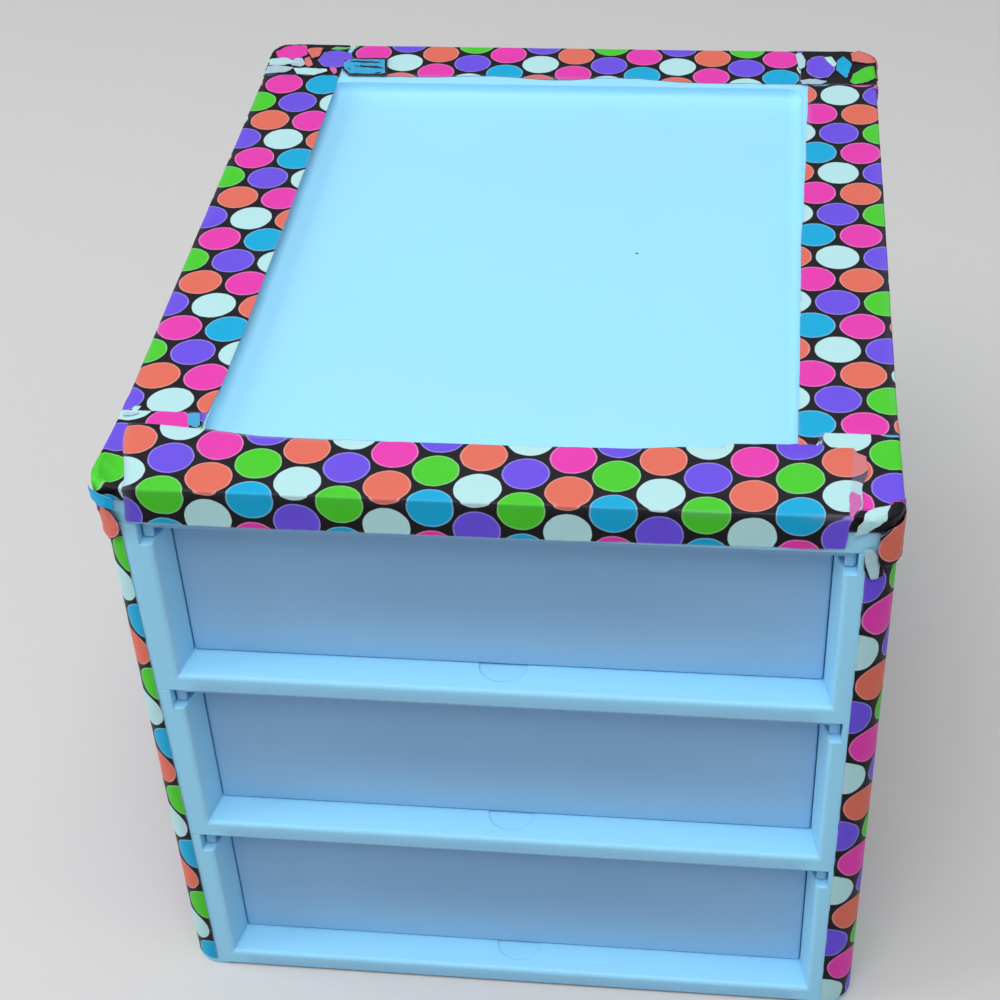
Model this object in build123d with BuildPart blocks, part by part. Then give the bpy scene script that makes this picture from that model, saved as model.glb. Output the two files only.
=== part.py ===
from build123d import *
from math import ceil, pi
import os

os.makedirs("parts", exist_ok=True)

# A three-drawer desktop unit with patterned tape over its edges and sides.
# Millimetres. X runs left to right, -Y is the front, Z is up from the table.

# How far a cut runs past a face, how near an edge must lie to count as on a plane,
# and how much of its wall a rounded edge leaves straight
cut_past = 1.0
near = 0.01
least_flat = 0.5

# Moulded stack
unit_width = 272.5
unit_depth = 324.6
corner_radius = 10.0
wall = 2.2
column_width = 20.25
seam_round = 0.4
foot_height = 1.4
foot_length = 14.0
foot_inset = 0.6

# One tier
tier_names = ("bottom", "middle", "top")
tier_height = 80.75
floor_level = 7.7
floor_thickness = 2.2
recess_depth = 14.0
mouth_splay = 2.9
mouth_round = 1.8
front_plate = 3.0
liner_wall = 2.0
rail_drop = 9.6
rail_thickness = 2.2
post_depth = 12.0
dimple_radius = 9.0
dimple_depth = 0.5
rib_count = 5
rib_thickness = 1.6
rib_clearance = 1.5

# Pegs that keep the stacked mouldings in line
peg_inset = 7.0
peg_radius = 3.0
peg_length = 3.0
peg_clearance = 0.2
boss_bite = 0.4

# Top cover
cover_height = 15.5
cover_round = 1.0
cover_floor = 2.4
tray_depth = 5.7
tray_side_rim = 31.55
tray_front_rim = 31.5
tray_back_rim = 34.3
tray_corner = 6.0
tray_round = 5.0

# Drawers
drawer_gap = 0.3
drawer_wall = 1.8
drawer_floor = 2.0
drawer_corner = 1.0
drawer_round = 0.8
inner_corner = 0.8
glide_gap = 0.3
top_gap = 0.8
back_gap = 1.0
rim_thickness = 1.8
side_rim = 7.2
back_rim = 3.0
rim_corner = 1.5
skirt_wall = 1.8
rail_gap = 0.6
grip_reach = 10.0
grip_lip = 2.0
drawer_travel = 210.0
stop_margin = 3.0
ear_length = 12.0
ear_reach = 5.0

# Patterned tape
tape_width = 47.75
tape_thickness = 0.25
tape_gap = 0.3
front_fold = 14.2
back_fold = 15.0
side_fold = 15.0
front_tape_inset = 9.75
back_tape_inset = 10.0
front_wrap = 9.5
least_lap = 1.5
strip_foot_gap = 2.0

# Places that follow from the sizes above
front = -unit_depth / 2
back = unit_depth / 2
side = unit_width / 2
stack_top = foot_height + len(tier_names) * tier_height
unit_height = stack_top + cover_height
half_bay = side - column_width
half_drawer = half_bay - drawer_gap
drawer_width = 2 * half_drawer
half_mouth = half_bay + mouth_splay
half_rim = half_drawer + side_rim
half_notch = half_rim + drawer_gap
rail_level = tier_height - rail_drop
recess_plane = front + recess_depth
bay_back = back - wall
post_back = front + post_depth
rim_front = recess_plane - grip_reach
drawer_back = bay_back - back_gap - back_rim
peg_x = side - peg_inset
peg_y = unit_depth / 2 - peg_inset
boss_radius = peg_inset - wall + boss_bite


def outline(level, height, grow=0.0, mode=Mode.ADD):
    """Extrudes the unit's plan, grown all round, from a level upwards."""
    with BuildSketch(Plane.XY.offset(level)) as footprint:
        RectangleRounded(unit_width + 2 * grow, unit_depth + 2 * grow, corner_radius + grow)
    extrude(footprint.sketch, amount=height, mode=mode)


def plan(level, height, points, mode=Mode.SUBTRACT):
    """Extrudes a straight-sided plan that is the same left and right of the middle."""
    with BuildSketch(Plane.XY.offset(level)) as shape:
        with BuildLine():
            Polyline(*points, *[(-x, y) for x, y in reversed(points)], close=True)
        make_face()
    extrude(shape.sketch, amount=height, mode=mode)


def side_cavity(base, height):
    """Opens each hollow side column from below, between its liner and its outer skin."""
    with BuildSketch(Plane.XY.offset(base)) as columns:
        for hand in (-1, 1):
            with BuildLine():
                Polyline(
                    (hand * (half_mouth + liner_wall), front + front_plate),
                    (hand * (half_bay + liner_wall), recess_plane + liner_wall),
                    (hand * (half_bay + liner_wall), bay_back),
                    (hand * (side - wall), bay_back),
                    (hand * (side - wall), front + front_plate),
                    close=True,
                )
            make_face()
    extrude(columns.sketch, amount=height, mode=Mode.SUBTRACT)


def pegs(base, top, has_pegs):
    """Stands a boss in each corner, with a peg below it that enters the moulding underneath."""
    with BuildSketch(Plane.XY.offset(base)) as bosses:
        with GridLocations(2 * peg_x, 2 * peg_y, 2, 2):
            Circle(boss_radius)
    extrude(bosses.sketch, amount=top - base)
    if has_pegs:
        with BuildSketch(Plane.XY.offset(base - peg_length)) as ends:
            with GridLocations(2 * peg_x, 2 * peg_y, 2, 2):
                Circle(peg_radius)
        extrude(ends.sketch, amount=peg_length)


def make_tier(name, base, is_lowest):
    """One moulded frame: floor, hollow sides with a rail along the top, back and open front."""
    label = "tier_" + name
    top = base + tier_height
    with BuildPart() as tier:
        outline(base, tier_height)
        ends = tier.edges().group_by(Axis.Z)
        fillet(ends[0] + ends[-1], seam_round)
        # The bay that the drawer runs in, with its splayed mouth
        plan(
            base + floor_level,
            tier_height - floor_level,
            [
                (half_mouth, front - cut_past),
                (half_mouth, front),
                (half_bay, recess_plane),
                (half_bay, bay_back),
            ],
        )
        # The channels over the rails, narrowed to notches between the corner posts
        plan(
            base + rail_level,
            rail_drop,
            [
                (half_notch, front - cut_past),
                (half_notch, post_back),
                (side - wall, post_back),
                (side - wall, back - post_depth),
                (half_notch, back - post_depth),
                (half_notch, bay_back),
            ],
        )
        # Hollow sides and underside
        side_cavity(base, rail_level - rail_thickness)
        underside = half_bay + liner_wall
        plan(base, floor_level - floor_thickness, [(underside, front + wall), (underside, bay_back)])
        with BuildSketch(Plane.XY.offset(base + rib_clearance)):
            with GridLocations(2 * half_bay / (rib_count + 1), 0, rib_count, 1):
                Rectangle(rib_thickness, unit_depth - wall)
        extrude(amount=floor_level - floor_thickness - rib_clearance)
        pegs(base, base + rail_level - rail_thickness, not is_lowest)
        # Sockets for the pegs of whatever stands on this tier
        with Locations(Plane.XY.offset(top)):
            with GridLocations(2 * peg_x, 2 * peg_y, 2, 2):
                Hole(peg_radius + peg_clearance, peg_length + peg_clearance)
        # Thumb mark in the sill, under the middle of the drawer's front
        with BuildSketch(Plane.XY.offset(base + floor_level - dimple_depth)):
            with Locations((0, recess_plane + drawer_gap)):
                Circle(dimple_radius)
        extrude(amount=dimple_depth, mode=Mode.SUBTRACT)
        # Soft front edges of the mouth
        on_front = tier.edges().filter_by(lambda e: abs(e.center().Y - front) < near)
        sill = on_front.filter_by(Axis.X).filter_by(lambda e: abs(e.center().Z - base - floor_level) < near)
        jambs = on_front.filter_by(Axis.Z).filter_by(lambda e: abs(abs(e.center().X) - half_mouth) < near)
        fillet(sill + jambs, mouth_round)
        if is_lowest:
            with BuildSketch(Plane.XY.offset(base - foot_height)):
                RectangleRounded(
                    unit_width - 2 * foot_inset,
                    unit_depth - 2 * foot_inset,
                    corner_radius - foot_inset,
                )
                Rectangle(unit_width - 2 * foot_length, unit_depth, mode=Mode.SUBTRACT)
                Rectangle(unit_width, unit_depth - 2 * foot_length, mode=Mode.SUBTRACT)
            extrude(amount=foot_height + wall)
    tier.part.label = label
    export_step(tier.part, "parts/" + label + ".step")


def make_cover():
    """The lid of the stack: a shallow tray with a broad rim and a skirt all round."""
    top = stack_top + cover_height
    tray_level = top - tray_depth
    tray_back = back - tray_back_rim
    tray_front = front + tray_front_rim
    tray_width = unit_width - 2 * tray_side_rim
    with BuildPart() as cover:
        outline(stack_top, cover_height)
        ends = cover.edges().group_by(Axis.Z)
        fillet(ends[0], seam_round)
        fillet(ends[-1], cover_round)
        with BuildSketch(Plane.XY.offset(stack_top)):
            RectangleRounded(unit_width - 2 * wall, unit_depth - 2 * wall, corner_radius - wall)
        extrude(amount=cover_height - wall, mode=Mode.SUBTRACT)
        # The tray's walls and floor, hung from the rim
        with BuildSketch(Plane.XY.offset(tray_level - cover_floor)):
            with Locations((0, (tray_front + tray_back) / 2)):
                RectangleRounded(tray_width + 2 * wall, tray_back - tray_front + 2 * wall, tray_corner + wall)
        extrude(amount=tray_depth + cover_floor)
        with BuildSketch(Plane.XY.offset(tray_level)):
            with Locations((0, (tray_front + tray_back) / 2)):
                RectangleRounded(tray_width, tray_back - tray_front, tray_corner)
        extrude(amount=tray_depth, mode=Mode.SUBTRACT)
        tray_edges = cover.edges().filter_by(lambda e: abs(e.center().Z - tray_level) < near)
        fillet(tray_edges, min(tray_round, tray_depth - least_flat, tray_corner - least_flat))
        pegs(stack_top, top - wall, True)
    cover.part.label = "top_cover"
    export_step(cover.part, "parts/top_cover.step")


def make_drawer(name, base):
    """An open tub with side rims over the rails, a front grip and stop ears near the back."""
    label = "drawer_" + name
    bottom = base + floor_level + glide_gap
    top = base + tier_height - top_gap
    skirt_foot = base + rail_level + rail_gap
    tub_length = drawer_back - recess_plane
    tub_middle = (drawer_back + recess_plane) / 2
    rim_length = drawer_back + back_rim - rim_front
    rim_middle = (drawer_back + back_rim + rim_front) / 2
    ear_front = post_back + drawer_travel + stop_margin
    with BuildPart() as drawer:
        with BuildSketch(Plane.XY.offset(bottom)):
            with Locations((0, tub_middle)):
                RectangleRounded(drawer_width, tub_length, drawer_corner)
        extrude(amount=top - bottom)
        fillet(drawer.edges().group_by(Axis.Z)[0], drawer_round)
        # The rim all round, with a skirt under its edge
        with BuildSketch(Plane.XY.offset(skirt_foot)):
            with Locations((0, rim_middle)):
                RectangleRounded(2 * half_rim, rim_length, rim_corner)
        extrude(amount=top - skirt_foot)
        with BuildSketch(Plane.XY.offset(skirt_foot)):
            with Locations((0, rim_middle)):
                Rectangle(2 * (half_rim - skirt_wall), rim_length - 2 * skirt_wall)
            with Locations((0, tub_middle)):
                RectangleRounded(drawer_width, tub_length, drawer_corner, mode=Mode.SUBTRACT)
        extrude(amount=top - rim_thickness - skirt_foot, mode=Mode.SUBTRACT)
        # Between the notches the front skirt is cut short into a finger grip that the tier above hides
        with BuildSketch(Plane.XY.offset(skirt_foot)):
            with Locations((0, rim_front)):
                Rectangle(2 * half_mouth, 2 * (skirt_wall + near))
        extrude(amount=top - rim_thickness - grip_lip - skirt_foot, mode=Mode.SUBTRACT)
        # Ears that meet the front posts when the drawer is fully out
        ear_middle = half_rim + (ear_reach - skirt_wall) / 2
        with BuildSketch(Plane.XY.offset(skirt_foot)):
            for hand in (-1, 1):
                with Locations((hand * ear_middle, ear_front + ear_length / 2)):
                    Rectangle(ear_reach + skirt_wall, ear_length)
        extrude(amount=top - skirt_foot)
        # The inside
        with BuildSketch(Plane.XY.offset(bottom + drawer_floor)):
            with Locations((0, tub_middle)):
                RectangleRounded(
                    drawer_width - 2 * drawer_wall,
                    tub_length - 2 * drawer_wall,
                    inner_corner,
                )
        extrude(amount=top - bottom - drawer_floor, mode=Mode.SUBTRACT)
    drawer.part.label = label
    export_step(drawer.part, "parts/" + label + ".step")


def make_top_tapes():
    """Four strips folded over the edges of the cover, meeting edge to edge at the corners."""
    cover_base = stack_top + tape_gap
    with BuildPart() as core:
        outline(cover_base, unit_height - cover_base)
        fillet(core.edges().group_by(Axis.Z)[-1], cover_round)
    with BuildPart() as skin:
        outline(cover_base, unit_height + tape_thickness - cover_base, grow=tape_thickness)
        fillet(skin.edges().group_by(Axis.Z)[-1], cover_round + tape_thickness)
        add(core.part, mode=Mode.SUBTRACT)
    far = 2 * tape_width
    front_tape_span = unit_width - 2 * front_tape_inset
    back_tape_span = unit_width - 2 * back_tape_inset
    front_reach = tray_front_rim
    back_reach = tape_width - back_fold
    zones = {
        "tape_top_front": [
            ((front_tape_span, 2 * front_reach, 2 * front_fold), (0, front, unit_height), Mode.INTERSECT),
        ],
        "tape_top_back": [
            ((back_tape_span, 2 * back_reach, 2 * back_fold), (0, back, unit_height), Mode.INTERSECT),
        ],
    }
    for hand, word in ((-1, "left"), (1, "right")):
        edge = (hand * side, 0, unit_height)
        zones["tape_top_" + word] = [
            ((2 * tray_side_rim, 2 * unit_depth, 2 * side_fold), edge, Mode.INTERSECT),
            ((front_tape_span, 2 * front_reach, far), (0, front, unit_height), Mode.SUBTRACT),
            ((back_tape_span, 2 * back_reach, far), (0, back, unit_height), Mode.SUBTRACT),
        ]
    for label, steps in zones.items():
        with BuildPart() as tape:
            add(skin.part)
            for size, place, mode in steps:
                with Locations(place):
                    Box(*size, mode=mode)
        tape.part.label = label
        export_step(tape.part, "parts/" + label + ".step")


def make_side_tapes():
    """Upright strips over both sides, the first ones round the front corners."""
    strip_base = foot_height + strip_foot_gap
    strip_top = stack_top - tape_gap
    corner_arc = (corner_radius + tape_thickness) * pi / 2
    straight_front = front + corner_radius
    first_edge = straight_front + tape_width - corner_arc - (front_wrap - corner_radius)
    last_edge = back - corner_radius / 2
    later_strips = ceil((last_edge - first_edge) / (tape_width - least_lap))
    pitch = (last_edge - first_edge) / later_strips
    edges = [first_edge + number * pitch for number in range(later_strips + 1)]
    for hand, word in ((-1, "left"), (1, "right")):
        start = front - cut_past
        for number, end in enumerate(edges, 1):
            label = "tape_side_" + word + "_" + str(number)
            with BuildPart() as tape:
                outline(strip_base, strip_top - strip_base, grow=tape_thickness)
                outline(strip_base, strip_top - strip_base, mode=Mode.SUBTRACT)
                with Locations((hand * side, (start + end) / 2, stack_top / 2)):
                    Box(2 * front_wrap, end - start, 2 * stack_top, mode=Mode.INTERSECT)
            tape.part.label = label
            export_step(tape.part, "parts/" + label + ".step")
            start = end


for tier_number, tier_name in enumerate(tier_names):
    tier_base = foot_height + tier_number * tier_height
    make_tier(tier_name, tier_base, tier_number == 0)
    make_drawer(tier_name, tier_base)
make_cover()
make_top_tapes()
make_side_tapes()
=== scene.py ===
from math import atan2, cos, hypot, pi, radians, sin

import bpy
from mathutils import Matrix, Vector, noise


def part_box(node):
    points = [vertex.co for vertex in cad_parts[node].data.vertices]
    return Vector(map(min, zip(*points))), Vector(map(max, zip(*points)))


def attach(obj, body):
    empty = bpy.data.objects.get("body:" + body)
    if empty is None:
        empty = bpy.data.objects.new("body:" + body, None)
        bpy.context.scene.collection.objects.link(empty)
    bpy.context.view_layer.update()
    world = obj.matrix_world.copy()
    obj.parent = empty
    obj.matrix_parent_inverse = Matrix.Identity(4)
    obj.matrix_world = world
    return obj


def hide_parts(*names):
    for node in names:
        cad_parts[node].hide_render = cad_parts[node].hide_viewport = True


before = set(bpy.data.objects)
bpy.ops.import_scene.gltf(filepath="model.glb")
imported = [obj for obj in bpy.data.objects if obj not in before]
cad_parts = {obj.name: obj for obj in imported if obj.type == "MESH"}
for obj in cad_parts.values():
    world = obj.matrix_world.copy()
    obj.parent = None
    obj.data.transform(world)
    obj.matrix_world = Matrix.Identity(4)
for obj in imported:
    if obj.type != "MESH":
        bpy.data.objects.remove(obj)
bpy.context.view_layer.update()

# The unit's own sizes, read from the frame, in millimetres
MM = 0.001


def sizes(node):
    """A CAD node's lowest and highest corners in millimetres."""
    low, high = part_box(node)
    return low / MM, high / MM


cover_low, cover_high = sizes("top_cover")
side = cover_high.x
front = cover_low.y
back = cover_high.y
cover_top = cover_high.z
stack_top = sizes("tier_top")[1].z
tier_height = stack_top - sizes("tier_middle")[1].z
foot_height = stack_top - 3 * tier_height
strip_low, strip_high = sizes("tape_side_left_1")
strip_base = strip_low.z
strip_top = strip_high.z
strips_per_side = 7
side_edges = [sizes("tape_side_left_" + str(number + 1))[1].y for number in range(strips_per_side)]
back_drop = cover_top - sizes("tape_top_back")[0].z
side_drop = cover_top - sizes("tape_top_left")[0].z

# Plan of the unit and the fold over its upper edge
corner_radius = 10.0
fold_radius = 0.25
straight_side = side - corner_radius
straight_front = -front - corner_radius
corner_arc = corner_radius * pi / 2
# Distance along the outline, from the middle of the front, where the corner ends
corner_end = straight_side + corner_arc

# Half the width of the drawers' tubs, inside their rims, and the height of the sills
tub_half = 116.0
sill_height = 7.7

# Tape: the film's thickness, how high it lies, the height that each layer adds and the wear of a cut edge
film = 0.22
lay_height = 0.3
layer = 0.28
fray = 0.4

# Its print: dots staggered in columns and half rows, each with a paler rim and a soft outline
column_pitch = 15.5
half_row_pitch = 9.0
dot_radius = 8.2
dot_rim = 0.42
dot_softness = 0.16
# A column and half row between the dots, where the print is all ground
bare_print = (1.0 + 1 / 3, 2.0)

# Relief of the tape (threads, waves), the moulded plastic (grain, sink marks), the drawers and the floor
thread_pitch = 1.1
thread_height = 0.004
wave_height = 0.35
grain_height = 0.04
sink_height = 0.6
frost_height = 0.06
floor_grain = 0.2

# The flat grid that the tape is cut from: its steps, half the width of its fine band at a fold, how far it
# goes past one, how near a cut comes to a grid point as a share of the step, and the least angle that stays
# sharp
plain_step = 2.6
drop_step = 2.4
fold_step = 0.2
fold_band = 1.0
grid_drop = 16.5
least_share = 0.03
on_cut_line = 1e-9
sharp_angle = 50.0


def inked(red, green, blue):
    """A screen colour of 0 to 255 as the linear colour that a shader takes."""
    shares = [value / 255 for value in (red, green, blue)]
    return tuple(s / 12.92 if s <= 0.04045 else ((s + 0.055) / 1.055) ** 2.4 for s in shares) + (1.0,)


cream = inked(170, 213, 217)
purple = inked(99, 73, 213)
green = inked(66, 190, 34)
blue = inked(0, 158, 205)
pink = inked(214, 52, 164)
orange = inked(210, 102, 84)
ground = inked(9, 7, 13)
dot_colours = (cream, purple, green, blue, pink, orange)
rim_ink = inked(206, 206, 214)
faded_ink = inked(150, 136, 170)
# A faint pale bluish wash on tape that faces up
upward_wash_colour = inked(200, 206, 222)
moulded = inked(146, 212, 245)
moulded_pale = inked(151, 217, 247)
moulded_streak = inked(134, 198, 240)
# Paler edge colour: a painted highlight with a little rubbed wear
moulded_edge_rub_and_highlight = inked(176, 226, 250)
grime_shade = inked(120, 130, 140)
speck_shade = inked(60, 62, 70)
# Painted shade on the faces of the sills
sill_painted_shade = inked(139, 194, 230)
# Painted shade and painted light on the mouths' splayed sides
splay_left_painted_shade = inked(161, 201, 225)
splay_right_painted_light = inked(163, 214, 241)
frosted = inked(128, 171, 212)
frosted_pale = inked(133, 178, 217)
# Painted light on the drawers: low down, high up, towards the sides and on the rims
frosted_painted_light_low = inked(150, 201, 240)
frosted_painted_light_high = inked(143, 193, 236)
frosted_painted_light_side = inked(148, 196, 236)
frosted_painted_light_rim = inked(152, 208, 242)
frosted_grain = inked(150, 176, 206)
frosted_smudge = inked(160, 190, 216)
floor_paint = inked(200, 200, 200)
floor_cloud = inked(194, 194, 195)


class Finish:
    """Builds one material, node by node."""

    def __init__(self, name):
        self.material = bpy.data.materials.new(name)
        self.material.use_nodes = True
        self.tree = self.material.node_tree
        self.tree.nodes.clear()

    def feed(self, socket, value):
        """Links a socket to another node's output, or sets its value."""
        if isinstance(value, bpy.types.NodeSocket):
            self.tree.links.new(value, socket)
        else:
            socket.default_value = value

    def node(self, kind, inputs, output=0, **settings):
        """Adds a node, fills its inputs and returns one of its outputs."""
        made = self.tree.nodes.new("ShaderNode" + kind)
        for key, value in settings.items():
            setattr(made, key, value)
        for key, value in inputs.items():
            self.feed(made.inputs[key], value)
        return made.outputs[output]

    def math(self, operation, *values):
        """One step of arithmetic."""
        return self.node("Math", dict(enumerate(values)), operation=operation)

    def times(self, first, second):
        """The product of two values."""
        return self.math("MULTIPLY", first, second)

    def length(self, across, along):
        """The length of a flat step, from its two parts."""
        squared = self.math("ADD", self.times(across, across), self.times(along, along))
        return self.math("SQRT", squared)

    def between(self, value, low, high):
        """0 below low, 1 above high, smooth between them; low may be the larger."""
        inputs = {"Value": value, "From Min": low, "From Max": high}
        return self.node("MapRange", inputs, interpolation_type="SMOOTHSTEP")

    def spread(self, value, low, high):
        """Takes a value of 0 to 1 to the range from low to high."""
        return self.node("MapRange", {"Value": value, "To Min": low, "To Max": high})

    def mix(self, share, first, second):
        """Blends two colours."""
        return self.node("Mix", {0: share, 6: first, 7: second}, output=2, data_type="RGBA")

    def noise(self, scale, detail, roughness=0.5, stretch=None):
        """Noise from 0 to 1, with scale in repeats per metre."""
        place = self.place()
        if stretch is not None:
            place = self.node("VectorMath", {0: place, 1: stretch}, operation="MULTIPLY")
        inputs = {"Vector": place, "Scale": scale, "Detail": detail, "Roughness": roughness}
        return self.node("TexNoise", inputs)

    def place(self):
        """The point on the piece, in metres in the unit's frame."""
        return self.node("TexCoord", {}, output=3)

    def axes(self, vector):
        """The three parts of a vector."""
        self.node("SeparateXYZ", {0: vector})
        split = self.tree.nodes[-1]
        return split.outputs[0], split.outputs[1], split.outputs[2]

    def bump(self, height, distance, normal=None):
        """Relief from a height, where a height of 1 stands for the distance in metres."""
        inputs = {"Height": height, "Distance": distance, "Strength": 1.0}
        if normal is not None:
            inputs["Normal"] = normal
        return self.node("Bump", inputs)

    def surface(self, **inputs):
        """Ends the material with one principled shader."""
        names = {key.replace("_", " ").title().replace("Ior", "IOR"): value for key, value in inputs.items()}
        shader = self.node("BsdfPrincipled", names)
        end = self.tree.nodes.new("ShaderNodeOutputMaterial")
        self.feed(end.inputs["Surface"], shader)
        return self.material


def dotted_tape():
    """Cloth tape with a dull gloss, printed with staggered rows of round dots on black."""
    finish = Finish("dotted_tape")
    column, row, _ = finish.axes(finish.node("UVMap", {}, uv_map="print"))
    wobble = finish.spread(finish.noise(260.0, detail=2.0), -0.3, 0.3)

    def lattice(column_dot, row_dot):
        """Distance to a dot's middle in millimetres."""
        across = finish.times(finish.math("SUBTRACT", row, row_dot), half_row_pitch)
        along = finish.times(finish.math("SUBTRACT", column, column_dot), column_pitch)
        return finish.math("ADD", finish.length(across, along), wobble)

    # Dots on odd columns and rows
    half_column = finish.math("FLOOR", finish.times(column, 0.5))
    half_row = finish.math("FLOOR", finish.times(row, 0.5))
    odd_column = finish.math("MULTIPLY_ADD", half_column, 2.0, 1.0)
    odd_row = finish.math("MULTIPLY_ADD", half_row, 2.0, 1.0)
    odd_distance = lattice(odd_column, odd_row)
    odd_ink = finish.math("ADD", half_row, finish.math("FLOORED_MODULO", half_column, 2.0))
    # Dots on even columns and rows
    near_column = finish.math("ROUND", finish.times(column, 0.5))
    near_row = finish.math("ROUND", finish.times(row, 0.5))
    even_column = finish.times(near_column, 2.0)
    even_row = finish.times(near_row, 2.0)
    even_distance = lattice(even_column, even_row)
    even_turn = finish.math("FLOORED_MODULO", finish.math("SUBTRACT", near_column, 1.0), 2.0)
    even_ink = finish.math("ADD", finish.math("ADD", near_row, 3.0), even_turn)
    # The nearer dot gives the colour
    is_odd = finish.math("LESS_THAN", odd_distance, even_distance)
    distance = finish.math("MINIMUM", odd_distance, even_distance)
    ink_gap = finish.math("SUBTRACT", odd_ink, even_ink)
    ink = finish.math("MULTIPLY_ADD", is_odd, ink_gap, even_ink)
    inks = len(dot_colours)
    place = finish.math("DIVIDE", finish.math("ADD", finish.math("FLOORED_MODULO", ink, inks), 0.5), inks)
    ramp = finish.tree.nodes.new("ShaderNodeValToRGB")
    ramp.color_ramp.interpolation = "CONSTANT"
    ramp.color_ramp.elements[0].color = dot_colours[0]
    ramp.color_ramp.elements[1].position = 1 / inks
    ramp.color_ramp.elements[1].color = dot_colours[1]
    for number in range(2, inks):
        ramp.color_ramp.elements.new(number / inks).color = dot_colours[number]
    finish.feed(ramp.inputs[0], place)
    # A paler line where the ink thins out at each dot's rim, then the black ground
    rim = finish.between(distance, dot_radius - dot_rim - dot_softness, dot_radius - dot_rim)
    rim_colour = finish.mix(0.24, ramp.outputs[0], rim_ink)
    dot_colour = finish.mix(rim, ramp.outputs[0], rim_colour)
    outside = finish.between(distance, dot_radius - dot_softness, dot_radius + dot_softness)
    printed = finish.mix(outside, dot_colour, ground)
    # Handling marks and faded ends
    worn = finish.node("Attribute", {}, output=2, attribute_name="wear")
    cloudy = finish.noise(38.0, detail=4.0, roughness=0.6)
    patchy = finish.spread(finish.noise(420.0, detail=5.0, roughness=0.7), 0.55, 1.15)
    scuffed = finish.times(worn, patchy)
    faded = finish.mix(scuffed, printed, faded_ink)
    # A faint pale bluish wash, only where the tape faces up
    _, _, up = finish.axes(finish.node("NewGeometry", {}, output=1))
    upward_wash = finish.times(finish.between(up, 0.3, 0.9), finish.spread(cloudy, 0.006, 0.028))
    tinted = finish.mix(upward_wash, faded, upward_wash_colour)
    # The cloth under the film shows as a faint cross weave
    threads = [
        finish.math("SINE", finish.times(socket, pitch * 2 * pi / thread_pitch))
        for socket, pitch in ((column, column_pitch), (row, half_row_pitch))
    ]
    weave_bump = finish.bump(finish.math("ADD", *threads), thread_height * MM)
    waves = finish.bump(finish.noise(60.0, detail=2.0), wave_height * MM, weave_bump)
    roughness = finish.spread(finish.noise(120.0, detail=4.0, roughness=0.6), 0.36, 0.5)
    return finish.surface(base_color=tinted, roughness=roughness, normal=waves, specular_ior_level=0.13)


def moulded_plastic(name, in_tray=False):
    """Pale moulded plastic, softly mottled, with rounded edges made paler by a painted highlight and a little
    rubbed wear, and, outside the tray, painted shade on the sill faces and painted light and shade on the
    mouths' splayed sides.
    """
    finish = Finish(name)
    mottle = finish.noise(9.0, detail=3.0, roughness=0.55)
    colour = finish.mix(finish.spread(mottle, 0.0, 1.0), moulded, moulded_pale)
    streaks = finish.noise(60.0, detail=3.0, roughness=0.6, stretch=(1.0, 0.06, 1.0))
    colour = finish.mix(finish.spread(streaks, 0.0, 0.1), colour, moulded_streak)
    rounded = finish.node("Bevel", {"Radius": 0.9 * MM}, samples=6)
    flat = finish.node("NewGeometry", {}, output=1)
    # Paler along the rounded edges: a painted highlight where they catch the light, with a little rubbed wear
    turned = finish.node("VectorMath", {0: rounded, 1: flat}, output=1, operation="DOT_PRODUCT")
    edge_rub_and_highlight = finish.between(finish.math("SUBTRACT", 1.0, turned), 0.01, 0.12)
    colour = finish.mix(finish.times(edge_rub_and_highlight, 0.4), colour, moulded_edge_rub_and_highlight)
    grime = finish.between(finish.noise(900.0, detail=4.0, roughness=0.65), 0.66, 0.78)
    colour = finish.mix(finish.times(grime, 0.12), colour, grime_shade)
    x, y, z = finish.axes(finish.place())
    if in_tray:
        for speck_x, speck_y, radius in tray_specks:
            off_x = finish.math("SUBTRACT", x, speck_x * MM)
            off_y = finish.math("SUBTRACT", y, speck_y * MM)
            spot = finish.between(finish.length(off_x, off_y), radius * MM, 0.4 * radius * MM)
            colour = finish.mix(spot, colour, speck_shade)
    else:
        # Painted shade: the faces of the sills are a little duller and darker, most of all towards the seams
        level = finish.math("FLOORED_MODULO", finish.math("SUBTRACT", z, foot_height * MM), tier_height * MM)
        low = finish.between(level, sill_height * MM, 0.2 * sill_height * MM)
        off_middle = finish.math("ABSOLUTE", x)
        between_jambs = finish.between(off_middle, (tub_half + 1.0) * MM, (tub_half - 6.0) * MM)
        dull = finish.times(finish.times(low, between_jambs), 0.9)
        colour = finish.mix(dull, colour, sill_painted_shade)
        # Painted shade and light on the splayed sides of the mouths, by which way they face: greyer and
        # darker where they face right, paler where they face left
        facing_x, facing_y, _ = finish.axes(flat)
        forward = finish.between(facing_y, -0.15, -0.3)
        for start, full, shade in ((0.7, 0.86, splay_left_painted_shade), (-0.7, -0.86, splay_right_painted_light)):
            on_splay = finish.times(finish.between(facing_x, start, full), forward)
            colour = finish.mix(on_splay, colour, shade)
    grain = finish.bump(finish.noise(1500.0, detail=2.0), grain_height * MM, rounded)
    normal = finish.bump(finish.noise(22.0, detail=2.0), sink_height * MM, grain)
    roughness = finish.spread(finish.noise(45.0, detail=4.0, roughness=0.6), 0.4, 0.54)
    return finish.surface(base_color=colour, roughness=roughness, normal=normal, specular_ior_level=0.35)


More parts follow.
